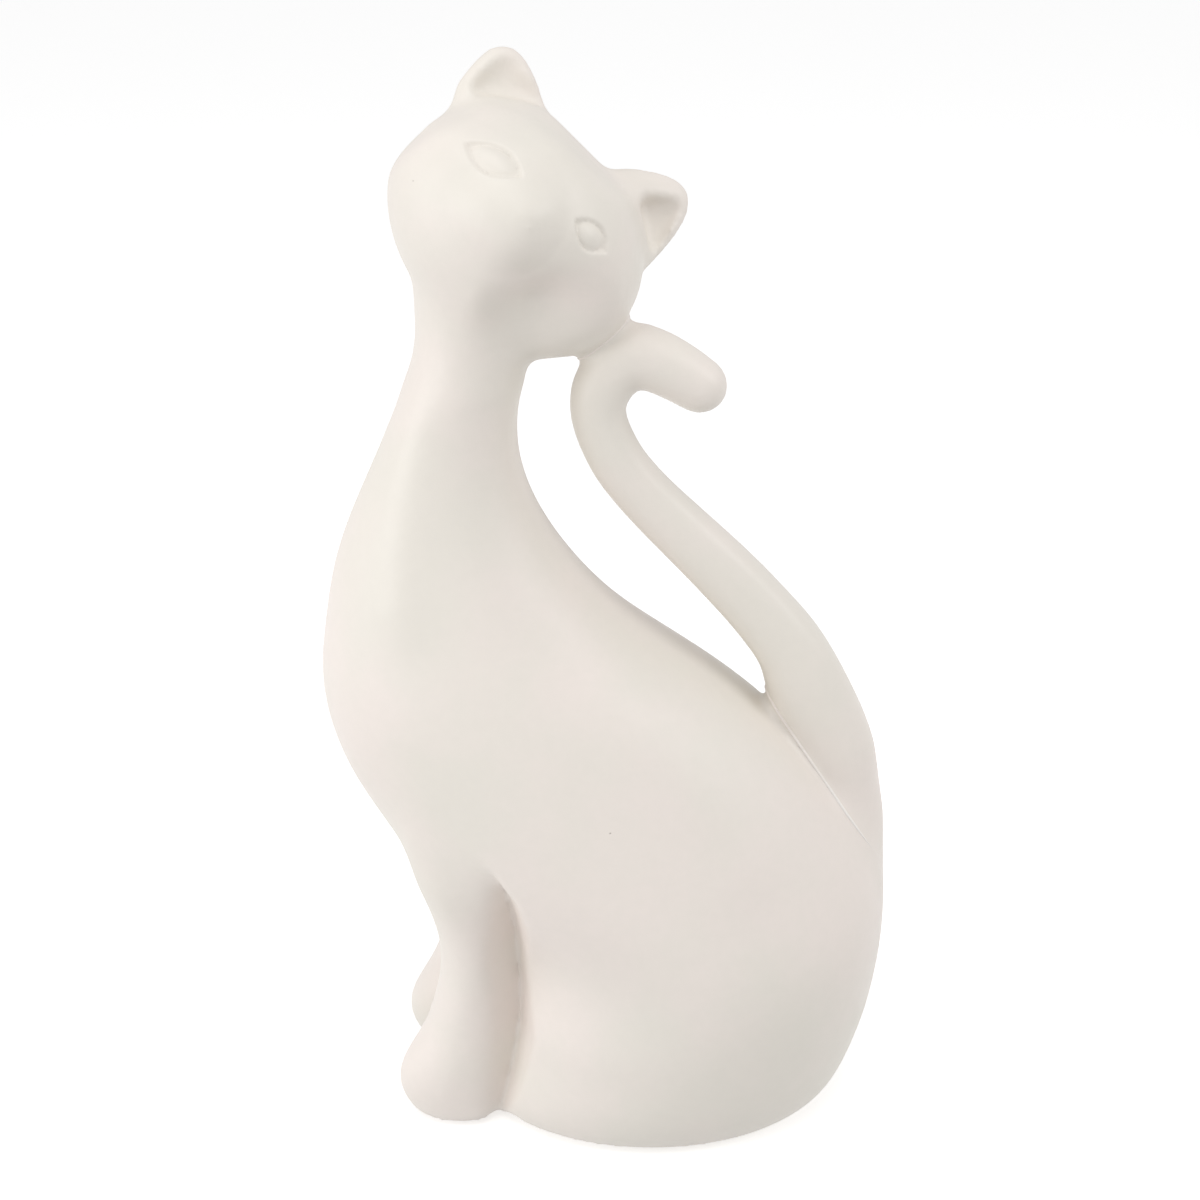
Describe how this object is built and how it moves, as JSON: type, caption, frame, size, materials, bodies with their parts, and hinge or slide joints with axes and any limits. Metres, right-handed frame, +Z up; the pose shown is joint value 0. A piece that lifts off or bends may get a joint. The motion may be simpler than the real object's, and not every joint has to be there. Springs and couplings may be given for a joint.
{
  "type": "seated cat figurine",
  "caption": "Tall seated cat figurine in plain matte ceramic, head turned aside and resting on the hooked tail.",
  "frame": {"origin": "on the table top, under the middle of the figure's length and breadth", "axes": "+Z up; the chest faces -X and the tail rises at +X; the turned face looks towards -Y"},
  "size_m": [0.1266, 0.081, 0.2377],
  "materials": {
    "bisque": "matte off-white bisque, very fine grain, faint satin sheen",
    "slip": "matte off-white fired slip, a shade warmer than the castings",
    "felt": "pale grey wool felt"
  },
  "bodies": {
    "root": {"body_casting": "bisque", "head_casting": "bisque", "tail_casting": "bisque", "slip_at_rump": "slip", "slip_at_cheek": "slip", "slip_at_neck": "slip", "felt_pad_front_near": "felt", "felt_pad_front_far": "felt", "felt_pad_rear_near": "felt", "felt_pad_rear_far": "felt"}
  },
  "joints": []
}
